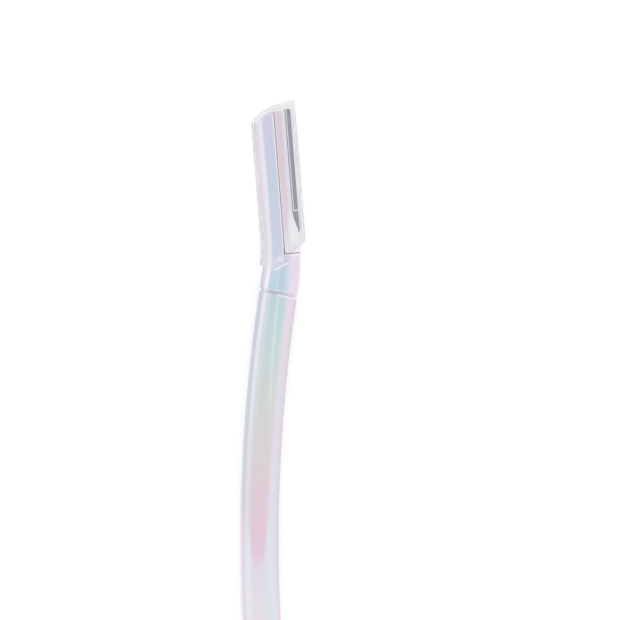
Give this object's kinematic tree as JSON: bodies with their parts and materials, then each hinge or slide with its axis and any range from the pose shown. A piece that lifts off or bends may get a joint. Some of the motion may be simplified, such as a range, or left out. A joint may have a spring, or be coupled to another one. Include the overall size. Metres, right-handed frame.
{
  "type": "eyebrow razor",
  "caption": "Slim bowed handle with a slanted seam, a tilted head that clamps a guarded straight blade, and a clear slip-on cap.",
  "frame": {"origin": "on the flat land under the handle, on the centreline, where the bow runs parallel to Y", "axes": "+X across to the blade's side, +Y along the handle to the head, +Z out of the front face, away from the surface it rests on"},
  "size_m": [0.0163, 0.1546, 0.0055],
  "materials": {
    "handle_pearl": "pearlescent gloss, pastel blue, green and pink",
    "head_pearl": "pearlescent gloss, cool blue and lilac",
    "clamp_pearl": "pearlescent gloss, pinkish lilac",
    "blade_steel": "lightly brushed, honed edge",
    "guard_plastic": "milky, pale blue",
    "cap_clear": "clear moulded plastic, smooth gloss"
  },
  "bodies": {
    "razor": {"handle": "handle_pearl", "head_frame": "head_pearl", "blade_clamp": "clamp_pearl", "blade": "blade_steel", "blade_guard": "guard_plastic"},
    "cap": {"cap": "cap_clear"}
  },
  "joints": [
    {"name": "cap_slide", "type": "slide", "parent": "razor", "child": "cap", "axis": [-0.0786, 0.9969, 0], "range_m": [0, 0.045]}
  ]
}
